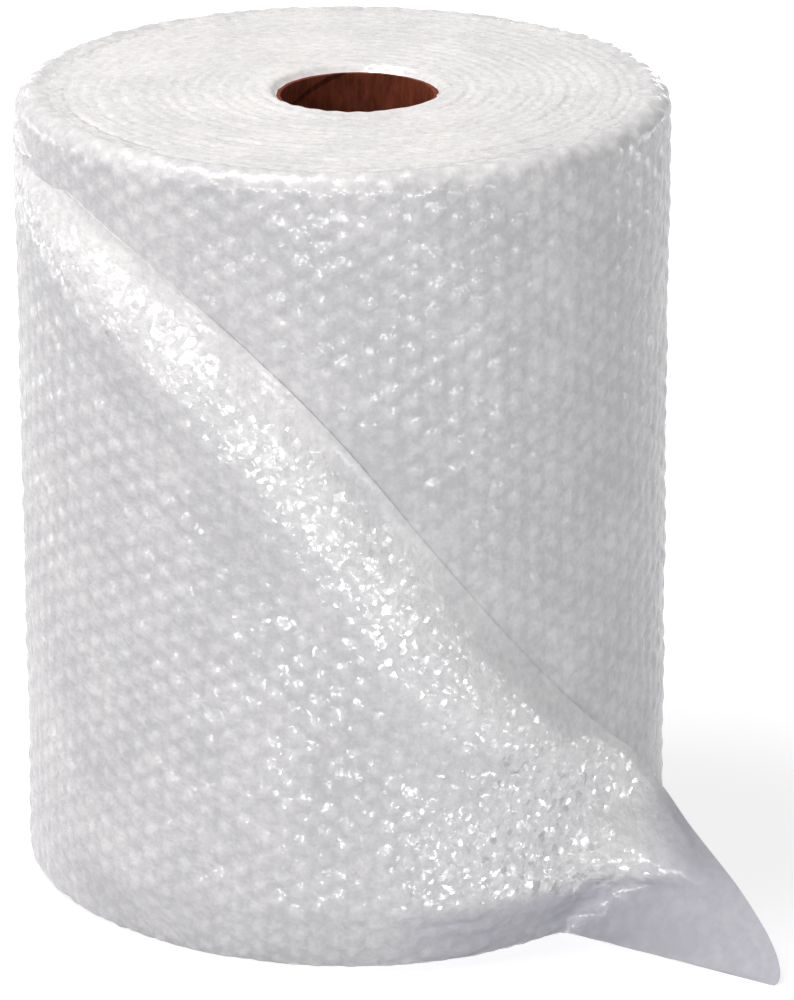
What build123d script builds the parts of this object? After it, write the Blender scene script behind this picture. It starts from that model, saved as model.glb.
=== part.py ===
"""A roll of bubble wrap on a cardboard tube, standing on its end, with its loose end drawn out on the floor.

The frame is the tube's axis: +Z up, the origin on the floor. The front of the roll faces -Y.
The sheet winds counter-clockwise, seen from above, from the tube outwards. A turn is a front and a back
half-circle with their centres on the X axis, so that they meet smoothly at the left and right of the tube.
"""

import os

from build123d import *

# Sheet and tube, in millimetres
roll_width = 305.0  # width of the sheet, which is the height of the standing roll
sheet_thickness = 4.76  # loose sheet over its bubbles
core_bore_diameter = 57.15
core_wall = 2.8
core_recess = 3.0  # the tube stands on the floor and ends this far below the roll's top

# Winding
wound_turns = 18
left_pitch = 5.03  # from turn to turn at the left of the tube, where they lie looser
right_pitch = 4.69  # and at the right
shoulder_radius = 6.0  # soft rounding of the roll's upper rim
shoulder_steps = 3  # in this many bevels
foot_bevel = 4.5  # bevel of its lower rim

# Spiral groove between the edges of the turns, on the top of the roll
groove_width = 1.6
groove_depth = 2.4

# Slanting cut of the loose end, in the front view: in from the loose turn's right or left side, and down from the top
cut_low_inset = 26.2
cut_bend_inset = 110.5
cut_bend_drop = 119.0
cut_high_inset = 12.0
cut_high_drop = 19.0

# Inner end of the pocket behind the loose corner, in the front view: in from the right side, and up from the floor
pocket_end = ((36.5, 0.0), (28.5, 8.0), (28.5, 16.0), (40.5, 32.0), (28.5, 54.0), (26.2, 64.0))

# Corner of the loose end, which leaves the roll and lies out on the floor. Each level gives its height, how far
# the sheet is tucked in there under the outer turn, the angle round the roll where it leaves, the radius and
# angle of its bend outwards, and its straight run after the bend.
corner_levels = (
    (0.0, 9.0, 310.0, 8.0, 73.9, 89.0),
    (7.0, 6.4, 312.5, 13.0, 77.9, 74.4),
    (13.0, 4.0, 313.5, 14.0, 76.8, 64.1),
    (19.0, 1.6, 312.0, 26.0, 74.4, 41.9),
    (25.0, 0.5, 308.0, 48.0, 66.8, 16.2),
    (32.0, 0.5, 305.0, 80.0, 38.6, 12.8),
    (40.0, 0.5, 306.0, 80.0, 16.3, 35.6),
    (52.0, 0.5, 309.0, 80.0, 2.1, 45.1),
    (64.0, 0.5, 316.0, 60.0, 0.7, 24.7),
    (76.0, 1.6, 317.0, 60.0, 2.0, 6.5),
)
root_radius = 48.0  # before it leaves, the corner's solid curves back into the roll with this radius
root_turn = 24.0  # through this angle
root_depth = 3.0  # and it is this much thicker than the sheet

# Sizes that follow
core_radius = core_bore_diameter / 2 + core_wall
core_length = roll_width - core_recess
corner_height = corner_levels[-1][0]
loose_turn = wound_turns + 1
front_plane = Plane.XZ


def half_turn(turn, back=False):
    """Radius, and x of the centre, of the outer face of a turn's front or back half."""
    left = core_radius + (turn + 1 if back else turn) * left_pitch
    right = core_radius + turn * right_pitch
    return (right + left) / 2, (right - left) / 2


def upright_axis(x):
    """A vertical axis through a point of the X axis."""
    return Axis((x, 0, 0), (0, 0, 1))


def rim_section(radius, centre_x):
    """Half of the roll's upright section, from a vertical axis out to its two rims, on the right."""
    side_x = centre_x + radius
    shoulder_centre = Vector(side_x - shoulder_radius, roll_width - shoulder_radius)
    shoulder = [
        shoulder_centre + Vector(shoulder_radius, 0).rotate(Axis.Z, 90 * step / shoulder_steps)
        for step in range(shoulder_steps + 1)
    ]
    with BuildSketch(front_plane) as section:
        with BuildLine():
            foot = ((centre_x, 0), (side_x - foot_bevel, 0), (side_x, foot_bevel))
            Polyline(*foot, *shoulder, (centre_x, roll_width), close=True)
        make_face()
    return section.sketch


def groove_section(radius, centre_x):
    """V-shaped section of the groove outside a turn, on the right."""
    with BuildSketch(front_plane) as section:
        with BuildLine():
            Polyline(
                (centre_x + radius - groove_width / 2, roll_width),
                (centre_x + radius + groove_width / 2, roll_width),
                (centre_x + radius, roll_width - groove_depth),
                close=True,
            )
        make_face()
    return section.sketch


# Cardboard tube
with BuildPart() as core_tube:
    with BuildSketch():
        Circle(core_radius)
        Circle(core_bore_diameter / 2, mode=Mode.SUBTRACT)
    extrude(amount=core_length)

# Loose end where it lies on the roll, with the turns under it, cut along the slant
loose_radius, loose_centre_x = half_turn(loose_turn)
loose_centre = Vector(loose_centre_x, 0)
loose_left_x = loose_centre_x - loose_radius
loose_right_x = loose_centre_x + loose_radius
with BuildPart() as loose_end:
    revolve(
        rim_section(loose_radius, loose_centre_x),
        axis=upright_axis(loose_centre_x),
        revolution_arc=-180,
    )
    with BuildSketch(front_plane):
        with BuildLine():
            slant = Line(
                (loose_right_x - cut_low_inset, corner_height),
                (loose_right_x - cut_bend_inset, roll_width - cut_bend_drop),
            )
            cut_high = (loose_left_x + cut_high_inset, roll_width - cut_high_drop)
            bow = TangentArc(slant @ 1, cut_high, tangent=slant % 1)
            pocket = [(loose_right_x - inset, height) for inset, height in pocket_end]
            Polyline(bow @ 1, (loose_left_x, roll_width), (loose_left_x, 0), *pocket, slant @ 0)
        make_face()
    extrude(amount=loose_radius, mode=Mode.INTERSECT)

# Corner of the loose end, through level sections that bend away from the roll
with BuildPart() as loose_corner:
    for height, tuck, leave_angle, bend_radius, bend_angle, run in corner_levels:
        outward = Vector(1, 0).rotate(Axis.Z, leave_angle)
        ahead = outward.rotate(Axis.Z, 90)
        leave = loose_centre + outward * (loose_radius - tuck)
        inner_leave = leave - outward * sheet_thickness
        with BuildSketch(Plane.XY.offset(height)):
            with BuildLine():
                root = JernArc(leave, -ahead, root_radius, -root_turn)
                outer_bend = JernArc(leave, ahead, bend_radius, -bend_angle)
                outer_run = Line(outer_bend @ 1, outer_bend @ 1 + (outer_bend % 1) * run)
                inner_bend = JernArc(inner_leave, ahead, bend_radius + sheet_thickness, -bend_angle)
                inner_run = Line(inner_bend @ 1, inner_bend @ 1 + (inner_bend % 1) * run)
                Line(outer_run @ 1, inner_run @ 1)
                Polyline(inner_leave, inner_leave - outward * root_depth, root @ 1 - outward * root_depth, root @ 1)
            make_face()
    loft(ruled=True)

# The wound sheet, with its loose end, on the tube
with BuildPart() as bubble_wrap:
    for back, sweep_angle in ((False, -180), (True, 180)):
        radius, centre_x = half_turn(wound_turns, back)
        revolve(rim_section(radius, centre_x), axis=upright_axis(centre_x), revolution_arc=sweep_angle)
    add(loose_end.part)
    add(loose_corner.part)
    with BuildSketch():
        Circle(core_radius)
    extrude(amount=roll_width, mode=Mode.SUBTRACT)
    for turn in range(1, wound_turns - 1):
        for back, sweep_angle in ((False, -180), (True, 180)):
            radius, centre_x = half_turn(turn, back)
            revolve(
                groove_section(radius, centre_x),
                axis=upright_axis(centre_x),
                revolution_arc=sweep_angle,
                mode=Mode.SUBTRACT,
            )

os.makedirs("parts", exist_ok=True)
core_tube.part.label = "core_tube"
export_step(core_tube.part, "parts/core_tube.step")
bubble_wrap.part.label = "bubble_wrap"
export_step(bubble_wrap.part, "parts/bubble_wrap.step")
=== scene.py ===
"""A roll of bubble wrap on a cardboard tube, standing on its end, with its loose end drawn out on the floor.

Working sizes are in millimetres, and a mesh is made in metres. Angles go round the tube's axis, seen from
above: 0 is the right of the roll, a quarter turn its back, a half turn its left and three quarters its front.
"""
import math
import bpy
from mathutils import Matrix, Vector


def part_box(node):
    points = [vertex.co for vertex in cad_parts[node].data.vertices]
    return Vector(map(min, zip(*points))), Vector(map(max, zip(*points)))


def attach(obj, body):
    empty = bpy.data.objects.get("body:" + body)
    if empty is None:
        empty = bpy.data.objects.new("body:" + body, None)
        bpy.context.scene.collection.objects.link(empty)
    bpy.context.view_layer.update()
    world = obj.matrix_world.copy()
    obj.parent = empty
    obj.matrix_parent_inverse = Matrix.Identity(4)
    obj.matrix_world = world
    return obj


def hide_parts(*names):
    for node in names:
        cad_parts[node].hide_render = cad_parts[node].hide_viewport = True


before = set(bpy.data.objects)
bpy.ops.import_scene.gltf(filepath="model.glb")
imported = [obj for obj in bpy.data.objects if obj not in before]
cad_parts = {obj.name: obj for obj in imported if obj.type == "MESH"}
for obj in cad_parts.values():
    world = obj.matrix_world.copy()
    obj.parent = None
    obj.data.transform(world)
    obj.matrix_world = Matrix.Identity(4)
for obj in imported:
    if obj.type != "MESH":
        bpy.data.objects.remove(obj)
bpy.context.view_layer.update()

from types import SimpleNamespace

import bpy
import numpy as np
from mathutils import Matrix, Vector

METRE = 1000.0
QUARTER_TURN = math.pi / 2
HALF_TURN = math.pi
FULL_TURN = 2 * math.pi

# Roll and tube, read from the frame
roll_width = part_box("bubble_wrap")[1][2] * METRE
core_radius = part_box("core_tube")[1][0] * METRE

# Winding
sheet_thickness = 4.76
wound_turns = 18
left_pitch = 5.03
right_pitch = 4.69

# Rims of the outer turns, which are rounded and reach in over the roll's ends as lips
shoulder_radius = 7.0
lip_reach = 13.0
lip_drop = 0.8

# Bubbles, on a six-sided lattice with upright columns: a few are limp, and the others are not equally full
bubble_pitch = 9.4
column_pitch = bubble_pitch * math.sqrt(3) / 2
pillow_radius = 4.65
pillow_height = 0.68
limp_share = 0.07
limp_fullness = 0.25
least_fullness = 0.65
fullness_spread = 0.45

# Unevenness of the film: each layer's cell length along and across the sheet, its height and its seed
crumple_layers = ((6.0, 6.0, 0.26, 5), (3.4, 3.4, 0.14, 6))
wave_layers = ((70.0, 55.0, 0.7, 7), (28.0, 33.0, 0.3, 8))

# Slanting cut of the loose end, in the front view: x to the right of the tube's axis, z above the floor
cut_low = (105.0, 62.0)
cut_bend = (10.0, 186.0)
cut_high = (-115.0, 286.0)

# Corner of the loose end at several heights: height, how far the sheet is tucked in under the roll, the angle
# where it leaves the roll, the radius of its bend outwards, and x and y of its free edge
corner_levels = np.array([
    (0.0, 9.0, 310.0, 8.0, 154.0, -137.0),
    (7.0, 6.4, 312.5, 13.0, 153.0, -128.6),
    (13.0, 4.0, 313.5, 14.0, 150.1, -120.5),
    (19.0, 2.2, 312.0, 26.0, 145.2, -110.6),
    (25.0, 0.0, 308.0, 42.0, 139.6, -100.8),
    (32.0, 0.0, 305.0, 66.0, 131.3, -87.6),
    (40.0, 0.2, 306.0, 74.0, 122.8, -77.1),
    (52.0, 0.2, 309.0, 80.0, 112.7, -66.9),
    (64.0, 0.2, 316.0, 60.0, 103.5, -67.5),
    (78.0, 0.2, 320.85, 60.0, 92.7, -78.1),
])
tip_radius = 5.0

# Grids: steps in millimetres, and numbers of steps
wall_step = 1.45
loose_step = 1.62
loose_columns = 250
shoulder_steps = 8
lip_steps = 4

# Angle in degrees from which an edge between two faces is shaded as a sharp one
sharp_angle = 60


def half_turn(turn, back=False):
    """Radius, and x of the centre, of the outer face of a turn's front or back half."""
    left = core_radius + (turn + 1 if back else turn) * left_pitch
    right = core_radius + turn * right_pitch
    return (right + left) / 2, (right - left) / 2


loose_radius, loose_centre = half_turn(wound_turns + 1)
back_radius, back_centre = half_turn(wound_turns, back=True)
front_radius, front_centre = half_turn(wound_turns)


def cell_value(i, j, seed):
    """A fixed number from 0 to 1 for each whole-number cell, mixed by large, uneven factors."""
    mixed = np.sin(i * 127.1 + j * 311.7 + seed * 74.7) * 43758.5453
    return mixed - np.floor(mixed)


def soft_noise(x, y, seed):
    """Smooth fixed noise from -1 to 1, with one cell to each unit."""
    i, j = np.floor(x), np.floor(y)
    u, v = x - i, y - j
    u, v = u * u * (3 - 2 * u), v * v * (3 - 2 * v)
    low = cell_value(i, j, seed) * (1 - u) + cell_value(i + 1, j, seed) * u
    high = cell_value(i, j + 1, seed) * (1 - u) + cell_value(i + 1, j + 1, seed) * u
    return 2 * (low * (1 - v) + high * v) - 1


def uneven(along, across, layers):
    """The sum of several layers of soft noise on the sheet."""
    return sum(
        soft_noise(along / length, across / width, seed) * height
        for length, width, height, seed in layers
    )


def ease(x, low, high):
    """0 below low, 1 above high, smooth between."""
    t = np.clip((x - low) / (high - low), 0, 1)
    return t * t * (3 - 2 * t)


def ease_degrees(angle, low, high):
    """The same for an angle in radians, with low and high in degrees."""
    return ease(angle, math.radians(low), math.radians(high))


def smooth_through(x, knots, values):
    """A smooth curve through the knots that turns back only where they do, and is level past the last one."""
    gap = np.diff(knots)
    slope = np.diff(values) / gap
    tangent = np.zeros(len(knots))
    tangent[0], tangent[-1] = slope[0], slope[-1]
    for k in range(1, len(knots) - 1):
        if slope[k - 1] * slope[k] > 0:
            before, after = 2 * gap[k] + gap[k - 1], gap[k] + 2 * gap[k - 1]
            tangent[k] = (before + after) / (before / slope[k - 1] + after / slope[k])
    k = np.clip(np.searchsorted(knots, x) - 1, 0, len(gap) - 1)
    t = np.clip((x - knots[k]) / gap[k], 0, 1)
    return (
        values[k] * (1 + 2 * t) * (1 - t) ** 2
        + tangent[k] * gap[k] * t * (1 - t) ** 2
        + values[k + 1] * t * t * (3 - 2 * t)
        + tangent[k + 1] * gap[k] * t * t * (t - 1)
    )


def bubble_cells(along, across):
    """Distance to the nearest bubble's middle, with that bubble's fullness and lean."""
    nearest = np.full(along.shape, np.inf)
    fullness = np.zeros(along.shape)
    lean = np.zeros(along.shape)
    middle = np.round(along / column_pitch)
    for shift in (-1, 0, 1):
        i = middle + shift
        stagger = bubble_pitch / 2 * np.mod(i, 2)
        j = np.round((across - stagger) / bubble_pitch)
        dx = along - i * column_pitch
        dy = across - j * bubble_pitch - stagger
        distance = np.hypot(dx, dy)
        closer = distance < nearest
        nearest = np.where(closer, distance, nearest)
        chance = cell_value(i, j, 1)
        full = np.where(chance < limp_share, limp_fullness, least_fullness + fullness_spread * chance)
        fullness = np.where(closer, full, fullness)
        tilt = (cell_value(i, j, 2) - 0.5) * dx + (cell_value(i, j, 3) - 0.5) * dy
        lean = np.where(closer, tilt / pillow_radius, lean)
    return nearest, fullness, lean


def film_relief(along, across, filled):
    """Height of the outer film, a low pillow over each bubble, and its share of flat land between them."""
    distance, fullness, lean = bubble_cells(along, across)
    pillow = np.clip(1 - (distance / pillow_radius) ** 2, 0, 1) ** 2
    height = pillow * fullness * (1 + lean) * pillow_height * filled
    height = height + uneven(along, across, crumple_layers) + uneven(along, across, wave_layers)
    return height, 1 - pillow


def rim_rows(step):
    """Height, inset and place across the sheet of points up the roll's side, with a lip at each end."""
    quarter = np.linspace(0, QUARTER_TURN, shoulder_steps + 1)
    straight = np.arange(shoulder_radius, roll_width - shoulder_radius, step)[1:]
    lip = np.linspace(lip_reach, shoulder_radius, lip_steps + 1)[:-1]
    arc_height = shoulder_radius * (1 - np.cos(quarter))
    arc_inset = shoulder_radius * (1 - np.sin(quarter))
    low_lip, high_lip = np.zeros(lip_steps), np.full(lip_steps, roll_width - lip_drop)
    height = np.concatenate([low_lip, arc_height, straight, roll_width - arc_height[::-1], high_lip])
    inset = np.concatenate([lip, arc_inset, np.zeros(len(straight)), arc_inset[::-1], lip[::-1]])
    across = np.concatenate([[0], np.cumsum(np.hypot(np.diff(height), np.diff(inset)))])
    return height, inset, across + shoulder_radius - np.interp(shoulder_radius, height, across)


def round_points(radius, angle, height, centre=0.0):
    """Points round an upright axis, which stands on the X axis."""
    x, y, z = np.broadcast_arrays(centre + radius * np.cos(angle), radius * np.sin(angle), height)
    return np.stack([x, y, z], axis=-1)


def settle(points):
    """Nothing reaches below the floor."""
    points[..., 2] = np.maximum(points[..., 2], 0.0)
    return points


def grid_normals(points):
    """Unit normals of a grid of points, on the side where columns run to the right and rows up."""
    normal = np.cross(np.gradient(points, axis=1), np.gradient(points, axis=0))
    return normal / np.maximum(np.linalg.norm(normal, axis=2, keepdims=True), 1e-9)


def strip_faces(first, second):
    """Quads between two rows of point numbers."""
    return np.stack([first[:-1], first[1:], second[1:], second[:-1]], axis=-1)


def grid_faces(rows, columns, start=0, closed=False):
    """Quads of a grid, with the last column joined to the first if it is closed."""
    index = start + np.arange(rows * columns).reshape(rows, columns)
    if closed:
        index = np.column_stack([index, index[:, :1]])
    return np.concatenate([strip_faces(index[k], index[k + 1]) for k in range(rows - 1)])


def sheet_faces(rows, columns):
    """Faces of a closed sheet: two grids of points, back to back, joined along their edges."""
    count = rows * columns
    front = np.arange(count).reshape(rows, columns)
    behind = front + count
    return np.concatenate([
        grid_faces(rows, columns),
        grid_faces(rows, columns, count)[:, ::-1],
        strip_faces(behind[0], front[0]),
        strip_faces(front[-1], behind[-1]),
        strip_faces(front[:, 0], behind[:, 0]),
        strip_faces(behind[:, -1], front[:, -1]),
    ])


def closed_wall(outer, depth):
    """Points and faces of a curved wall: the outer grid, closed behind by a plain inner face."""
    rows, columns = outer.shape[:2]
    grid = np.arange(rows * columns).reshape(rows, columns)
    low = rows * columns + np.arange(columns)
    high = low + columns
    inward = np.array([1 - depth / loose_radius, 1 - depth / loose_radius, 1])
    inner_low = outer[0] * inward + [0, 0, depth]
    inner_high = outer[-1] * inward - [0, 0, depth]
    faces = grid_faces(rows, columns).tolist()
    for first, second in ((low, grid[0]), (grid[-1], high), (high, low)):
        faces += strip_faces(first, second).tolist()
    middle = rows // 2
    for side, turned in ((0, True), (columns - 1, False)):
        edge = grid[:, side]
        fan = [(edge[k + 1], edge[k], low[side] if k < middle else high[side]) for k in range(rows - 1)]
        fan.append((low[side], high[side], edge[middle]))
        faces += [face[::-1] if turned else face for face in fan]
    return np.concatenate([outer.reshape(-1, 3), inner_low, inner_high]), faces


def add_piece(name, points, faces, material, slot, replaced, **shares):
    """A mesh of the object, from points in millimetres, riding on the roll, with shares for its material."""
    mesh = bpy.data.meshes.new(name)
    mesh.from_pydata((points / METRE).tolist(), [], [list(face) for face in faces])
    mesh.shade_smooth()
    mesh.set_sharp_from_angle(angle=math.radians(sharp_angle))
    for share, values in shares.items():
        mesh.attributes.new(share, "FLOAT", "POINT").data.foreach_set("value", values.astype(np.float32))
    mesh.materials.append(material)
    piece = bpy.data.objects.new(name, mesh)
    bpy.context.scene.collection.objects.link(piece)
    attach(piece, "root")
    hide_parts(replaced)
    return piece


def edge_x(z):
    """x of the slanting cut in the front view at each height: a straight, an arc, and then up to the rim."""
    (low_x, low_z), (bend_x, bend_z), (high_x, high_z) = cut_low, cut_bend, cut_high
    run = np.array([bend_x - low_x, bend_z - low_z])
    run /= np.linalg.norm(run)
    chord = np.array([high_x - bend_x, high_z - bend_z])
    side = np.array([-run[1], run[0]])
    bow_radius = chord @ chord / (2 * chord @ side)
    middle = np.array(cut_bend) + side * bow_radius
    straight = low_x + (z - low_z) * run[0] / run[1]
    bow = middle[0] + np.sqrt(np.maximum(bow_radius**2 - (z - middle[1]) ** 2, 0))
    rim = high_x + (z - high_z) * (loose_centre - loose_radius - high_x) / (roll_width - high_z)
    return np.where(z < bend_z, straight, np.where(z < high_z, bow, rim))


def edge_angle(z):
    """Angle round the roll of the slanting cut at each height."""
    return FULL_TURN - np.arccos(np.clip((edge_x(z) - loose_centre) / loose_radius, -1, 1))


# Side of the roll under the loose end. At its start, through an angle in radians, it is filled out to lie
# close under the sheet. It is calm beside the cut. Its foot is tucked in by the corner, between four angles.
start_fill = 3.6
start_fill_fade = (0.1, 0.65)
cut_calm = 0.85
cut_calm_reach = 16.0
foot_tuck = 9.0
foot_tuck_levels = (2.0, 26.0)
foot_tuck_start = (230, 250)
foot_tuck_end = (312, 326)
wall_crinkle = 0.23


def make_side(name, radius, centre, start, sheet_start, material, under_loose_end=False):
    """Half of the roll's side with the film's relief, fitted to the loose end if it lies under it."""
    columns = int(round(radius * HALF_TURN / wall_step))
    angles = np.linspace(start, start + HALF_TURN, columns + 1)
    height, inset, across = (values[:, None] for values in rim_rows(wall_step))
    base = round_points(radius - inset, angles, height, centre)
    along, across = np.broadcast_arrays(sheet_start + radius * (angles - start), across)
    relief, land = film_relief(along, across, 1.0)
    if under_loose_end:
        tucked = foot_tuck * (1 - ease(height, *foot_tuck_levels)) * ease_degrees(angles, *foot_tuck_start)
        tucked *= 1 - ease_degrees(angles, *foot_tuck_end)
        base[..., 0] -= tucked * np.cos(angles)
        base[..., 1] -= tucked * np.sin(angles)
        from_cut = base[..., 0] - edge_x(height)
        relief *= 1 - cut_calm * np.exp(-((from_cut / cut_calm_reach) ** 2))
        at_start = 1 - ease(angles - start, *start_fill_fade)
        relief += start_fill * at_start * (1 - ease(inset, 0, shoulder_radius))
    outer = settle(base + grid_normals(base) * relief[..., None])
    points, faces = closed_wall(outer, sheet_thickness)
    crinkle = np.full(len(points), wall_crinkle)
    land = np.concatenate([land.ravel(), np.zeros(len(points) - land.size)])
    add_piece(name, points, faces, material, "film", "bubble_wrap", crinkle=crinkle, land=land)


# Way of the loose end's rows. Between two angles, its foot turns from the rounded rim to the corner's tuck.
rim_fade = (185, 245)
shortest_row = 2.0


def bend_and_run(radius, leave, bend_radius, free_x, free_y):
    """Angle of the bend, and straight run after it, that bring the sheet from the roll to its free edge."""
    out_x, out_y = np.cos(leave), np.sin(leave)
    to_x = free_x - loose_centre - (radius + bend_radius) * out_x
    to_y = free_y - (radius + bend_radius) * out_y
    ahead = to_y * out_x - to_x * out_y
    back = -(to_x * out_x + to_y * out_y)
    distance = np.maximum(np.hypot(ahead, back), bend_radius)
    bend_angle = np.arctan2(ahead, back) - np.arccos(bend_radius / distance)
    return np.maximum(bend_angle, 0), np.sqrt(distance**2 - bend_radius**2)


def loose_rows():
    """The loose end's level rows, as columns of values, with each one's way round the roll to its edge."""
    height, rim_inset, across = rim_rows(loose_step)
    kept = (rim_inset <= shoulder_radius) & (height <= roll_width)
    height, rim_inset, across = (values[kept][:, None] for values in (height, rim_inset, across))
    levels, *shapes = corner_levels.T
    in_corner = height < levels[-1]
    tuck, leave, bend_radius, free_x, free_y = (smooth_through(height, levels, shape) for shape in shapes)
    leave = np.where(in_corner, np.radians(leave), edge_angle(height))
    bend_angle, run = bend_and_run(loose_radius - tuck, leave, bend_radius, free_x, free_y)
    in_tip = np.clip(tip_radius - height, 0, None)
    run = run - (tip_radius - np.sqrt(tip_radius**2 - in_tip**2))
    arc_length = loose_radius * (leave - HALF_TURN)
    bend_length = bend_radius * np.where(in_corner, bend_angle, 0)
    total = np.maximum(arc_length + bend_length + np.where(in_corner, run, 0), shortest_row)
    return SimpleNamespace(
        height=height, rim_inset=rim_inset, across=across, tuck=tuck, leave=leave, bend_radius=bend_radius,
        arc_length=arc_length, bend_length=bend_length, total=total,
    )


def loose_base(rows, along):
    """Points of the loose end before its relief, their angles round the roll and their way past it."""
    angle = HALF_TURN + np.minimum(along, rows.arc_length) / loose_radius
    blend = ease_degrees(angle, *rim_fade)
    inset = rows.rim_inset * (1 - blend) + rows.tuck * blend
    points = round_points(loose_radius - inset, angle, rows.height, loose_centre)
    past = np.clip(along - rows.arc_length, 0, None)
    turned = np.minimum(past, rows.bend_length) / rows.bend_radius
    heading = rows.leave + QUARTER_TURN
    ahead = rows.bend_radius * np.sin(turned)
    aside = rows.bend_radius * (1 - np.cos(turned))
    points[..., 0] += ahead * np.cos(heading) + aside * np.sin(heading)
    points[..., 1] += ahead * np.sin(heading) - aside * np.cos(heading)
    straight = np.clip(past - rows.bend_length, 0, None)
    points[..., 0] += straight * np.cos(heading - turned)
    points[..., 1] += straight * np.sin(heading - turned)
    return points, angle, past


# Zones of the loose end: the corner's top, over which the sheet comes to lie on the roll, the margin along
# the cut, where the bubbles are cut open and lie flat, and the undercut foot by the corner. Levels are
# heights above the floor. The bubbles fill out from one share of the margin's width to another.
corner_top_levels = (55.0, 105.0)
margin_high = 8.0
margin_low = 13.0
margin_levels = (90.0, 210.0)
corner_margin = 4.0
margin_fill = (0.35, 1.25)
undercut_levels = (17.0, 25.0)
undercut_angles = (272, 292)


def loose_zones(rows, along, angle):
    """Distance of the loose end's points from its cut edge, and their shares of its zones."""
    slope = np.gradient(rows.total[:, 0], rows.height[:, 0])[:, None]
    from_edge = (rows.total - along) / np.sqrt(1 + slope**2)
    on_roll = ease(rows.height, *corner_top_levels)
    margin = margin_high + (margin_low - margin_high) * (1 - ease(rows.height, *margin_levels))
    margin = np.where(on_roll < 0.5, corner_margin + on_roll * (margin - corner_margin), margin)
    fill_start, fill_end = margin_fill
    return SimpleNamespace(
        from_edge=from_edge,
        on_roll=on_roll,
        margin=margin,
        filled=ease(from_edge, margin * fill_start, margin * fill_end),
        undercut=(1 - ease(rows.height, *undercut_levels)) * ease_degrees(angle, *undercut_angles),
    )


# Film of the loose end. Its lattice of bubbles turns slowly along the sheet. The cut edge is a thin film,
# sunk to lie on the turn below, and a band beside it swells. The free corner is flatter, and small folds lie
# in the undercut.
lattice_turn = 0.00061
edge_film = 0.4
film_gap = 0.9
edge_press = 0.2
edge_sink = sheet_thickness - edge_film + edge_press
edge_sink_reach = 2.4
swell_height = 5.5
swell_place = 27.0
swell_spread = 20.0
swell_top_fade = (10.0, 90.0)
swell_start_fade = (5.0, 60.0)
start_fade = (0.0, 12.0)
margin_relief = 0.12
free_flattening = 0.45
free_fade = (5.0, 40.0)
fold_height = 1.2
fold_length = 26.0
fold_spacing = 3.2
fold_seed = 41
fold_fade = (10.0, 40.0)


def loose_faces(rows, zones, along, past, base):
    """The outer and the inner face of the loose end, and its share of flat land."""
    tilt = lattice_turn * along
    lattice_along = along - (rows.across - roll_width / 2) * tilt
    lattice_across = rows.across + tilt * along / 2
    free = 1 - free_flattening * ease(past, *free_fade)
    relief, land = film_relief(lattice_along, lattice_across, zones.filled * free)
    relief *= margin_relief + (1 - margin_relief) * zones.filled
    folds = soft_noise(along / fold_length, rows.height / fold_spacing, fold_seed)
    relief += fold_height * folds * zones.undercut * (1 - ease(past, *fold_fade))
    swell = swell_height * np.exp(-(((zones.from_edge - swell_place) / swell_spread) ** 2))
    swell *= zones.on_roll * ease(roll_width - rows.height, *swell_top_fade) * ease(along, *swell_start_fade)
    sunk = edge_sink * (1 - ease(zones.from_edge, 0, zones.margin * edge_sink_reach)) * zones.on_roll
    normal = grid_normals(base)
    outer = base + normal * (relief + (swell - sunk) * ease(along, *start_fade))[..., None]
    distance, fullness, _ = bubble_cells(lattice_along, lattice_across)
    dome = np.clip(1 - (distance / pillow_radius) ** 4, 0, 1) * np.minimum(fullness, 1)
    thickness = edge_film + (sheet_thickness - edge_film) * zones.filled
    inner = outer - normal * (edge_film + (film_gap - edge_film) * zones.filled)[..., None]
    inner -= normal * ((thickness - film_gap).clip(0) * dome * zones.filled)[..., None]
    return outer, inner, land


# Looks of the loose end. It crinkles most in a band beside the margin, which spreads over the corner's upper
# part, and elsewhere in clusters. The film is single where it lies out on the floor, and the undercut takes
# most of the single film's darker, bluer colour as painted shade.
band_place = 12.0
band_spread = 17.0
corner_band_start = (190.0, 260.0)
corner_band_foot = (20.0, 26.0)
corner_band_top = (60.0, 110.0)
# In the band the land between the bubbles is painted less dark, a painted highlight where the film glints
painted_highlight_band_land = 0.4
cluster_size = 17.0
cluster_seed = 31
cluster_range = (0.1, 0.9)
loose_crinkle = 0.34
cluster_crinkle = 0.16
margin_crinkle = 0.3
single_crinkle = 0.05
single_start_low = 3.0
single_start_high = 33.0
single_start_levels = (12.0, 32.0)
single_fade = 26.0
single_top = (44.0, 70.0)
# Share of the single film's darker colour painted on the undercut as shade
undercut_painted_shade = 0.8


def loose_shares(rows, zones, along, past, land):
    """Shares of crinkled film, single film and painted shade, and flat land on each face of the loose end."""
    band = np.exp(-(((zones.from_edge - zones.margin - band_place) / band_spread) ** 2))
    corner_band = (1 - ease(rows.height, *corner_band_top)) * ease(rows.height, *corner_band_foot)
    band = np.maximum(band, corner_band * ease(along, *corner_band_start)) * zones.filled
    cluster = soft_noise(along / cluster_size, rows.across / cluster_size, cluster_seed)
    crinkle = (loose_crinkle + cluster_crinkle * ease(cluster, *cluster_range)) * (1 - band) + band
    raised = ease(rows.height, *single_start_levels)
    single_start = single_start_low + (single_start_high - single_start_low) * raised
    single_film_and_painted_shade = ease(past, single_start, single_start + single_fade) * (1 - ease(rows.height, *single_top))
    crinkle *= 1 - (1 - single_crinkle) * single_film_and_painted_shade
    crinkle *= margin_crinkle + (1 - margin_crinkle) * zones.filled
    return {
        "crinkle": crinkle,
        # The undercut takes most of the single film's colour, which there is painted shade
        "single_film_and_painted_shade": np.maximum(single_film_and_painted_shade, undercut_painted_shade * zones.undercut),
        # Less dark land in the band is a painted highlight
        "land": land * zones.filled * (1 - (1 - painted_highlight_band_land) * band),
    }


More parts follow.
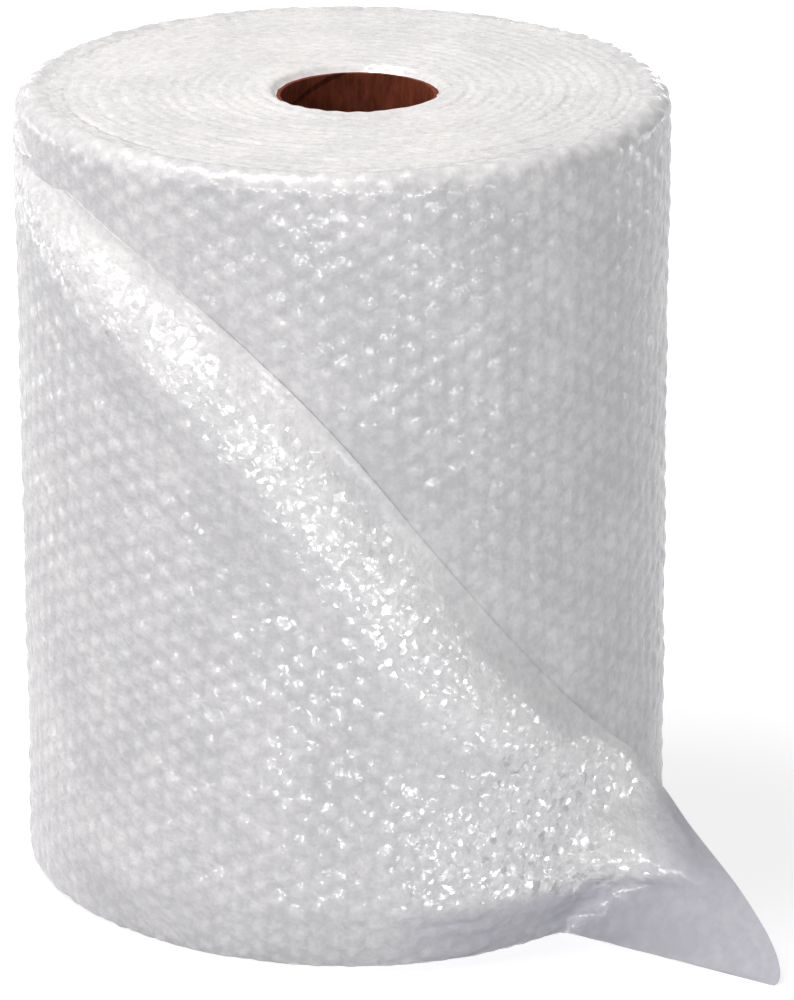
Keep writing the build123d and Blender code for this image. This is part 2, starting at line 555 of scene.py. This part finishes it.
def make_loose_end(material):
    """The outermost turn's front, cut on the slant, with its corner on the floor, as a closed sheet."""
    rows = loose_rows()
    along = rows.total * np.linspace(0, 1, loose_columns + 1)
    base, angle, past = loose_base(rows, along)
    zones = loose_zones(rows, along, angle)
    outer, inner, land = loose_faces(rows, zones, along, past, base)
    points = settle(np.concatenate([outer.reshape(-1, 3), inner.reshape(-1, 3)]))
    shares = loose_shares(rows, zones, along, past, land)
    shares = {share: np.tile(values.ravel(), 2) for share, values in shares.items()}
    faces = sheet_faces(*along.shape)
    piece = add_piece("loose_end", points, faces, material, "film", "bubble_wrap", **shares)


# Edges of the turns on the roll's ends: steps outwards and round for each end, and how far the ring of edges
# reaches out under the outer turn's shoulder, in over the tube and into the roll. At the left, from an angle
# on, the back closes in to the turn that it joins at the front.
top_steps = (128, 560)
bottom_steps = (40, 280)
ring_overlap = 1.5
core_lip = 1.9
core_gap = 0.3
ring_depth = 9.0
closing_start = 115

# Relief of the turns' edges: grooves between ridges, a sag of whole stretches, and a fall to both rims.
# A noise has its cell length along the sheet, its step from turn to turn and its seed.
wander_noise = (11.0, 7.3, 21)
wander_share = 0.16
scallop_share = 0.1
ridge_place = 0.62
groove_depth = 0.55
groove_noise = (9.0, 3.7, 22)
groove_mean = 0.6
groove_spread = 0.5
sag_noise = (38.0, 1.9, 23)
sag_depth = 0.7
outer_fall = 2.6
outer_fall_start = 0.975
core_fall = 3.0
core_fall_width = 3.2
turn_edge_crinkle = 0.3


def turn_place(radius, angle):
    """Number of turns from the tube out to a point of the roll's end, in whole turns and a share of one."""
    to_right = np.cos(angle)
    pitch = (right_pitch * (1 + to_right) + left_pitch * (1 - to_right)) / 2
    started = np.where(np.sin(angle) > 0, left_pitch * (1 - to_right) / 2, 0)
    return (radius - core_radius - started) / pitch


def turn_fall(radius, angle):
    """How far the turns' edges lie below the roll's end: a soft ridge to each turn, scalloped by bubbles."""
    turn = turn_place(radius, angle)
    whole = np.floor(turn)
    wound = whole + angle / FULL_TURN
    length = FULL_TURN * (core_radius * wound + (left_pitch + right_pitch) / 4 * wound**2)

    def turn_noise(cell, step, seed):
        return soft_noise(length / cell, whole * step, seed)

    wander = wander_share * turn_noise(*wander_noise)
    wander = wander + scallop_share * np.sin(FULL_TURN * length / column_pitch)
    groove = 0.5 - 0.5 * np.cos(FULL_TURN * (turn - whole + wander - ridge_place))
    groove = groove_depth * groove * (groove_mean + groove_spread * turn_noise(*groove_noise))
    return groove + sag_depth * (0.5 + 0.5 * turn_noise(*sag_noise))


def make_turn_edges(name, upward, radial_steps, round_steps, material):
    """The cut edges of the wound sheet on one end of the roll, as a closed ring."""
    angle = np.linspace(0, FULL_TURN, round_steps, endpoint=False)
    behind = np.sin(angle) > 0
    closing = ease(angle, math.radians(closing_start), HALF_TURN) * behind * left_pitch
    outer_radius = np.where(
        behind,
        back_radius + back_centre * np.cos(angle) - closing,
        front_radius + front_centre * np.cos(angle),
    )
    outer_radius = outer_radius - shoulder_radius + ring_overlap
    lip_radius = core_radius - core_lip
    share = np.linspace(0, 1, radial_steps)[:, None]
    radius = lip_radius + (outer_radius - lip_radius) * share
    fall = turn_fall(radius, angle) + outer_fall * ease(share, outer_fall_start, 1.0)
    fall = fall + core_fall * (1 - ease(radius, lip_radius, lip_radius + core_fall_width))
    edges = round_points(radius, angle, roll_width - fall if upward else fall)
    buried = roll_width - ring_depth if upward else ring_depth
    inner_row = round_points(core_radius + core_gap, angle, buried)
    outer_row = round_points(outer_radius, angle, buried)
    rows = np.concatenate([[inner_row], edges, [outer_row]])
    first = np.append(np.arange(round_steps), 0)
    last = first + (len(rows) - 1) * round_steps
    faces = np.concatenate([grid_faces(len(rows), round_steps, closed=True), strip_faces(last, first)])
    if upward:
        faces = faces[:, ::-1]
    points = settle(rows.reshape(-1, 3))
    crinkle = np.full(len(points), turn_edge_crinkle)
    add_piece(name, points, faces, material, "film", "bubble_wrap", crinkle=crinkle)


class Nodes:
    """Short calls for a tree of shader nodes."""

    def __init__(self, owner, shader):
        owner.use_nodes = True
        self.tree = owner.node_tree
        self.shader = self.tree.nodes[shader]

    def add(self, kind, **settings):
        node = self.tree.nodes.new(kind)
        for key, value in settings.items():
            setattr(node, key, value)
        return node

    def link(self, source, target):
        self.tree.links.new(source, target)

    def fix(self, node, **values):
        """Constant inputs of a node, named with _ for a space."""
        for key, value in values.items():
            node.inputs[key.replace("_", " ")].default_value = value

    def math(self, operation, first, second):
        node = self.add("ShaderNodeMath", operation=operation)
        for socket, value in zip(node.inputs, (first, second)):
            if isinstance(value, (int, float)):
                socket.default_value = value
            else:
                self.link(value, socket)
        return node.outputs[0]

    def spread(self, value, low, high, from_low=0.25, from_high=0.75):
        node = self.add("ShaderNodeMapRange")
        self.fix(node, From_Min=from_low, From_Max=from_high, To_Min=low, To_Max=high)
        self.link(value, node.inputs["Value"])
        return node.outputs["Result"]


class MaterialNodes(Nodes):
    """A new material and short calls for its nodes."""

    def __init__(self, name):
        self.material = bpy.data.materials.new(name)
        super().__init__(self.material, "Principled BSDF")
        self.place = self.add("ShaderNodeTexCoord").outputs["Object"]

    def share(self, name):
        return self.add("ShaderNodeAttribute", attribute_name=name).outputs["Fac"]

    def noise(self, scale, detail=2.0, roughness=0.5, place=None):
        node = self.add("ShaderNodeTexNoise")
        self.fix(node, Scale=scale, Detail=detail, Roughness=roughness)
        self.link(place or self.place, node.inputs["Vector"])
        return node.outputs["Fac"]

    def ramp(self, value, stops):
        node = self.add("ShaderNodeValToRGB")
        elements = node.color_ramp.elements
        while len(elements) < len(stops):
            elements.new(0.5)
        for element, (position, colour) in zip(elements, stops):
            element.position = position
            element.color = (*colour, 1.0)
        self.link(value, node.inputs["Fac"])
        return node.outputs["Color"]


# Film: cells to a metre of its wrinkles, clouds, gloss and facets, and the colours of many layers and of one,
# which in the undercut is painted shade
wrinkle_scale = 330.0
cloud_scale = 38.0
gloss_scale = 210.0
facet_scale = 430.0
cloud_share = 0.4
wrinkle_share = 0.6
land_shade = 0.14
layered_colours = ((0.30, (0.65, 0.65, 0.67)), (0.64, (0.92, 0.915, 0.915)))
single_film_and_painted_shade_colours = ((0.36, (0.56, 0.56, 0.62)), (0.64, (0.63, 0.63, 0.69)))
film_roughness = (0.12, 0.32)
single_roughness = 0.5
wrinkle_depth = 0.0014
wrinkle_strength = (0.15, 0.8)
facet_middle = (0.5, 0.5, 0.14)
film_facet_lean = 0.2
coat_facet_lean = 0.7


def film_material():
    """Clear film in many layers: milky white, glossy and finely wrinkled, most of all where it crinkles."""
    film = MaterialNodes("bubble_film")
    crinkle, single_film_and_painted_shade, land = (film.share(name) for name in ("crinkle", "single_film_and_painted_shade", "land"))
    wrinkle = film.noise(wrinkle_scale, detail=3.0, roughness=0.6)
    cloud = film.math("MULTIPLY", film.noise(cloud_scale, detail=3.0), cloud_share)
    cloud = film.math("ADD", cloud, film.math("MULTIPLY", wrinkle, wrinkle_share))
    cloud = film.math("SUBTRACT", cloud, film.math("MULTIPLY", land, land_shade))
    # Colour of the single film, which in the undercut is painted shade
    tint = film.add("ShaderNodeMix", data_type="RGBA")
    film.link(single_film_and_painted_shade, tint.inputs["Factor"])
    film.link(film.ramp(cloud, layered_colours), tint.inputs["A"])
    film.link(film.ramp(cloud, single_film_and_painted_shade_colours), tint.inputs["B"])
    film.link(tint.outputs["Result"], film.shader.inputs["Base Color"])
    rough = film.spread(film.noise(gloss_scale), *film_roughness)
    rough = film.math("ADD", rough, film.math("MULTIPLY", single_film_and_painted_shade, single_roughness))
    film.link(rough, film.shader.inputs["Roughness"])
    bump = film.add("ShaderNodeBump")
    film.fix(bump, Distance=wrinkle_depth)
    film.link(film.spread(crinkle, *wrinkle_strength, 0.0, 1.0), bump.inputs["Strength"])
    film.link(wrinkle, bump.inputs["Height"])
    facet = film.add("ShaderNodeTexVoronoi")
    film.fix(facet, Scale=facet_scale)
    film.link(film.place, facet.inputs["Vector"])
    centred = film.add("ShaderNodeVectorMath", operation="SUBTRACT")
    film.link(facet.outputs["Color"], centred.inputs[0])
    centred.inputs[1].default_value = facet_middle
    plain = film.add("ShaderNodeNewGeometry")
    for start, share, socket in ((bump, film_facet_lean, "Normal"), (plain, coat_facet_lean, "Coat Normal")):
        lean = film.add("ShaderNodeVectorMath", operation="SCALE")
        film.link(centred.outputs["Vector"], lean.inputs[0])
        film.link(film.math("MULTIPLY", crinkle, share), lean.inputs["Scale"])
        leant = film.add("ShaderNodeVectorMath", operation="ADD")
        film.link(start.outputs["Normal"], leant.inputs[0])
        film.link(lean.outputs["Vector"], leant.inputs[1])
        facing = film.add("ShaderNodeVectorMath", operation="NORMALIZE")
        film.link(leant.outputs["Vector"], facing.inputs[0])
        film.link(facing.outputs["Vector"], film.shader.inputs[socket])
    film.link(crinkle, film.shader.inputs["Coat Weight"])
    film.fix(film.shader, Specular_IOR_Level=0.25, Coat_Roughness=0.2, Coat_IOR=2.6)
    return film.material


# Card: cells to a metre of its fibres, with their stretch upwards, and turns to a metre of its ply's seam
fibre_scale = 420.0
fibre_stretch = (1.0, 1.0, 0.25)
fibre_depth = 0.0006
fibre_strength = 0.5
seam_climb = 14.0
seam_width = 0.03
seam_shade = 0.25
card_colours = ((0.2, (0.06, 0.014, 0.007)), (0.75, (0.30, 0.078, 0.040)))
card_roughness = (0.75, 0.95)


def card_material():
    """Brown kraft card, wound on the slant, with its ply's seam and short fibres."""
    card = MaterialNodes("wound_card")
    fibre_place = card.add("ShaderNodeMapping")
    card.fix(fibre_place, Scale=fibre_stretch)
    card.link(card.place, fibre_place.inputs["Vector"])
    fibre = card.noise(fibre_scale, detail=4.0, roughness=0.65, place=fibre_place.outputs["Vector"])
    turn = card.add("ShaderNodeTexGradient", gradient_type="RADIAL")
    card.link(card.place, turn.inputs["Vector"])
    apart = card.add("ShaderNodeSeparateXYZ")
    card.link(card.place, apart.inputs["Vector"])
    climb = card.math("ADD", card.math("MULTIPLY", apart.outputs["Z"], seam_climb), turn.outputs["Fac"])
    seam = card.math("LESS_THAN", card.math("FRACT", climb, 0.0), seam_width)
    tone = card.math("SUBTRACT", fibre, card.math("MULTIPLY", seam, seam_shade))
    card.link(card.ramp(tone, card_colours), card.shader.inputs["Base Color"])
    card.link(card.spread(fibre, *card_roughness), card.shader.inputs["Roughness"])
    bump = card.add("ShaderNodeBump")
    card.fix(bump, Strength=fibre_strength, Distance=fibre_depth)
    card.link(tone, bump.inputs["Height"])
    card.link(bump.outputs["Normal"], card.shader.inputs["Normal"])
    card.fix(card.shader, Specular_IOR_Level=0.1)
    return card.material


# Background, in metres: a white floor that keeps the shadow and is plain white further off, and a white world
floor_size = 12.0
floor_colour = (0.44, 0.44, 0.47, 1)
floor_glow = 0.77
floor_fade = (0.4, 1.6)
white = (1, 1, 1, 1)
world_light = 0.10


def seen_directly(nodes):
    """1 for rays from the camera, or from gloss and glass, and 0 for rays that light the object."""
    rays = nodes.add("ShaderNodeLightPath").outputs
    seen = nodes.math("MAXIMUM", rays["Is Camera Ray"], rays["Is Glossy Ray"])
    return nodes.math("MAXIMUM", seen, rays["Is Transmission Ray"])


def make_floor():
    """A flat floor under the roll."""
    nodes = MaterialNodes("floor")
    nodes.fix(nodes.shader, Base_Color=floor_colour, Emission_Color=white)
    nodes.fix(nodes.shader, Roughness=0.9, Specular_IOR_Level=0.0)
    away = nodes.add("ShaderNodeVectorMath", operation="LENGTH")
    nodes.link(nodes.place, away.inputs[0])
    glow = nodes.spread(away.outputs["Value"], floor_glow, 1.0, *floor_fade)
    glow = nodes.math("MULTIPLY", seen_directly(nodes), glow)
    nodes.link(glow, nodes.shader.inputs["Emission Strength"])
    half = floor_size / 2
    corners = [(-half, -half, 0), (half, -half, 0), (half, half, 0), (-half, half, 0)]
    mesh = bpy.data.meshes.new("floor")
    mesh.from_pydata(corners, [], [(0, 1, 2, 3)])
    mesh.materials.append(nodes.material)
    floor = bpy.data.objects.new("floor", mesh)
    bpy.context.scene.collection.objects.link(floor)


def make_world():
    """White where it is seen, and a faint light from all round."""
    world = bpy.data.worlds.new("world")
    bpy.context.scene.world = world
    nodes = Nodes(world, "Background")
    nodes.fix(nodes.shader, Color=white)
    strength = nodes.spread(seen_directly(nodes), world_light, 1.0, 0.0, 1.0)
    nodes.link(strength, nodes.shader.inputs["Strength"])


# Lamps, in metres and watts: a large one over the roll
overhead_place = (-0.72, -0.05, 2.0)
overhead_target = (0, 0, 0.3)
overhead_size = (1.0, 1.0)
overhead_power = 31.5
overhead_colour = (1.0, 0.968, 0.942)

# Small lamps in an arc before it, whose glints show on the wrinkles of the film: azimuth to the right of the
# front and elevation, in degrees, size and power. The high ones are warmer.
sparkle_lamps = (
    (-95, 8, 0.16, 0.6),
    (-68, 12, 0.22, 1.8),
    (-46, 6, 0.22, 2.7),
    (-30, 20, 0.26, 5.4),
    (-12, 5, 0.27, 5.2),
    (4, 22, 0.32, 6.2),
    (22, 6, 0.32, 5.4),
    (44, 4, 0.36, 2.8),
    (58, 18, 0.32, 1.1),
    (70, 5, 0.34, 0.9),
)
lamp_reach = 2.4
high_lamp_start = 10
high_lamp_colour = (1.0, 0.97, 0.94)
low_lamp_colour = (0.985, 0.985, 1.0)

# Wide, low lamps behind it: azimuth and power, and their width and height
back_lamps = ((124, 3.8), (180, 6.5), (234, 3.4))
back_lamp_size = (1.3, 0.26)


def add_lamp(name, place, target, width, height, power, colour):
    """A soft lamp that points at a target."""
    data = bpy.data.lights.new(name, "AREA")
    data.shape = "RECTANGLE"
    data.size = width
    data.size_y = height
    data.energy = power
    data.color = colour
    lamp = bpy.data.objects.new(name, data)
    lamp.location = place
    lamp.rotation_euler = (Vector(target) - Vector(place)).to_track_quat("-Z", "Y").to_euler()
    lamp.visible_camera = False
    bpy.context.scene.collection.objects.link(lamp)


def add_ring_lamp(name, azimuth, elevation, width, height, power, colour):
    """A lamp at the same distance as the others from the middle of the roll."""
    turned, raised = math.radians(azimuth), math.radians(elevation)
    level = math.cos(raised)
    outward = Vector((math.sin(turned) * level, -math.cos(turned) * level, math.sin(raised)))
    middle = Vector((0, 0, roll_width / METRE / 2))
    add_lamp(name, middle + outward * lamp_reach, middle, width, height, power, colour)


def add_lamps():
    """The overhead lamp, the arc of small ones and the wide ones behind."""
    add_lamp("overhead", overhead_place, overhead_target, *overhead_size, overhead_power, overhead_colour)
    for number, (azimuth, elevation, size, power) in enumerate(sparkle_lamps):
        colour = high_lamp_colour if elevation > high_lamp_start else low_lamp_colour
        add_ring_lamp(f"sparkle_{number}", azimuth, elevation, size, size, power, colour)
    for number, (azimuth, power) in enumerate(back_lamps):
        add_ring_lamp(f"back_{number}", azimuth, 0, *back_lamp_size, power, low_lamp_colour)


# Camera of the photograph, found from the roll's outline: its place in metres, its aim in radians, its focal
# length in pixels of a picture whose longer side is given, and a sensor's width in millimetres
camera_place = (0, -2.2165, 0.9306)
camera_pitch = 0.34178
camera_yaw = 0.00644
camera_roll = -0.00339
focal_pixels = 6195.6
picture_pixels = 1000
sensor_width = 36.0


def add_camera():
    """The photograph's view."""
    level = math.cos(camera_pitch)
    ahead = Vector((math.sin(camera_yaw) * level, math.cos(camera_yaw) * level, -math.sin(camera_pitch)))
    right = ahead.cross(Vector((0, 0, 1))).normalized()
    up = right.cross(ahead)
    turned_right = right * math.cos(camera_roll) + up * math.sin(camera_roll)
    turned_up = up * math.cos(camera_roll) - right * math.sin(camera_roll)
    data = bpy.data.cameras.new("camera")
    data.sensor_width = sensor_width
    data.lens = focal_pixels / picture_pixels * sensor_width
    camera = bpy.data.objects.new("camera", data)
    axes = Matrix((turned_right, turned_up, -ahead)).transposed()
    camera.matrix_world = Matrix.Translation(camera_place) @ axes.to_4x4()
    bpy.context.scene.collection.objects.link(camera)
    bpy.context.scene.camera = camera


film = film_material()
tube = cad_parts["core_tube"]
tube.data.materials.clear()
tube.data.materials.append(card_material())

back_start = -HALF_TURN * back_radius
front_start = -HALF_TURN * (back_radius + front_radius)
make_side("outer_turn_back", back_radius, back_centre, 0, back_start, film)
make_side("outer_turn_front", front_radius, front_centre, HALF_TURN, front_start, film, under_loose_end=True)
make_loose_end(film)
make_turn_edges("turn_edges_top", True, *top_steps, film)
make_turn_edges("turn_edges_bottom", False, *bottom_steps, film)

make_floor()
make_world()
add_lamps()
add_camera()
bpy.context.scene.view_settings.view_transform = "Standard"
